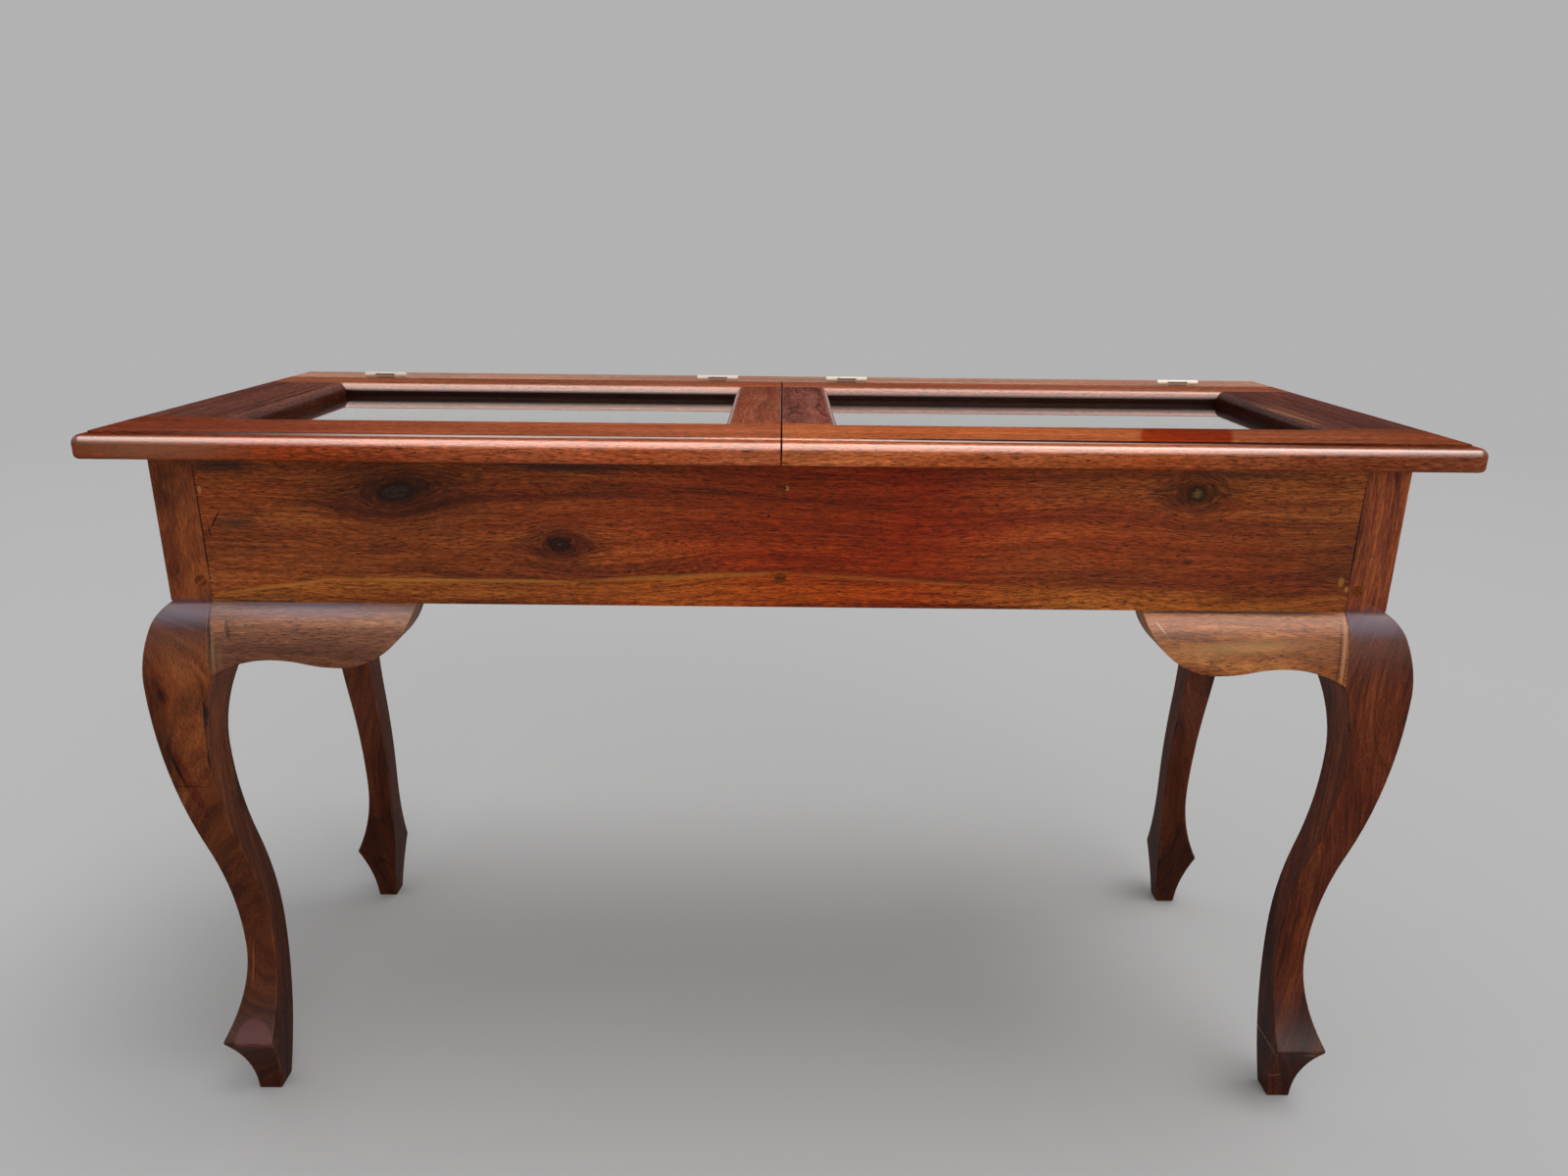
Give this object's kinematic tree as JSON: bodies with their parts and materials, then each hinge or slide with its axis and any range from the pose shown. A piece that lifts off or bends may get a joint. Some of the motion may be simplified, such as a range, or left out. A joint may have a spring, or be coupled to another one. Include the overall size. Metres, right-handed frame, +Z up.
{
  "type": "collectors display table",
  "caption": "Low display table with a shallow box under framed glass lids that hinge at the back, on carved cabriole legs.",
  "frame": {"origin": "on the floor, under the middle of the top", "axes": "+X to the right along the long side, +Y to the back where the hinges are, +Z up"},
  "size_m": [0.95, 0.375, 0.5713],
  "materials": {
    "leg_mahogany": "varnished mahogany, dark red-brown, grain upright",
    "apron_mahogany": "varnished mahogany with knots, grain along the board",
    "knee_block_mahogany": "varnished mahogany, brown, grain along the block",
    "top_mahogany": "glossy varnished mahogany, orange-red",
    "bead_mahogany": "varnished mahogany strip",
    "divider_mahogany": "waxed mahogany board",
    "base_plywood": "mahogany-faced plywood",
    "peg_wood": "hardwood dowel",
    "pane_glass": "clear float glass",
    "hinge_brass": "pale lacquered brass",
    "steel_fasteners": "plain steel"
  },
  "bodies": {
    "cabinet": {"apron_front": "apron_mahogany", "apron_left": "apron_mahogany", "apron_rear": "apron_mahogany", "apron_right": "apron_mahogany", "base_panel": "base_plywood", "centre_divider": "divider_mahogany", "divider_plugs": "peg_wood", "divider_screws": "steel_fasteners", "hinge_left_inner_fixed_leaf": "hinge_brass", "hinge_left_inner_pin": "hinge_brass", "hinge_left_outer_fixed_leaf": "hinge_brass", "hinge_left_outer_pin": "hinge_brass", "hinge_right_inner_fixed_leaf": "hinge_brass", "hinge_right_inner_pin": "hinge_brass", "hinge_right_outer_fixed_leaf": "hinge_brass", "hinge_right_outer_pin": "hinge_brass", "joint_pegs": "peg_wood", "knee_block_front_left": "knee_block_mahogany", "knee_block_front_right": "knee_block_mahogany", "knee_block_left_front": "knee_block_mahogany", "knee_block_left_rear": "knee_block_mahogany", "knee_block_rear_left": "knee_block_mahogany", "knee_block_rear_right": "knee_block_mahogany", "knee_block_right_front": "knee_block_mahogany", "knee_block_right_rear": "knee_block_mahogany", "leg_front_left": "leg_mahogany", "leg_front_right": "leg_mahogany", "leg_rear_left": "leg_mahogany", "leg_rear_right": "leg_mahogany", "rear_rail_hinge_screws": "hinge_brass", "rear_top_rail": "top_mahogany"},
    "left_lid": {"hinge_left_inner_lid_leaf": "hinge_brass", "hinge_left_outer_lid_leaf": "hinge_brass", "left_lid_back_rail": "top_mahogany", "left_lid_bead_back": "bead_mahogany", "left_lid_bead_centre": "bead_mahogany", "left_lid_bead_front": "bead_mahogany", "left_lid_bead_outer": "bead_mahogany", "left_lid_centre_stile": "top_mahogany", "left_lid_front_rail": "top_mahogany", "left_lid_glass": "pane_glass", "left_lid_hinge_screws": "hinge_brass", "left_lid_outer_stile": "top_mahogany"},
    "right_lid": {"hinge_right_inner_lid_leaf": "hinge_brass", "hinge_right_outer_lid_leaf": "hinge_brass", "right_lid_back_rail": "top_mahogany", "right_lid_bead_back": "bead_mahogany", "right_lid_bead_centre": "bead_mahogany", "right_lid_bead_front": "bead_mahogany", "right_lid_bead_outer": "bead_mahogany", "right_lid_centre_stile": "top_mahogany", "right_lid_front_rail": "top_mahogany", "right_lid_glass": "pane_glass", "right_lid_hinge_screws": "hinge_brass", "right_lid_outer_stile": "top_mahogany"}
  },
  "joints": [
    {"name": "left_lid_hinge", "type": "hinge", "parent": "cabinet", "child": "left_lid", "pos_m": [-0.218, 0.135, 0.5688], "axis": [-1, 0, 0], "range_deg": [0, 187]},
    {"name": "right_lid_hinge", "type": "hinge", "parent": "cabinet", "child": "right_lid", "pos_m": [0.218, 0.135, 0.5688], "axis": [-1, 0, 0], "range_deg": [0, 187]}
  ]
}
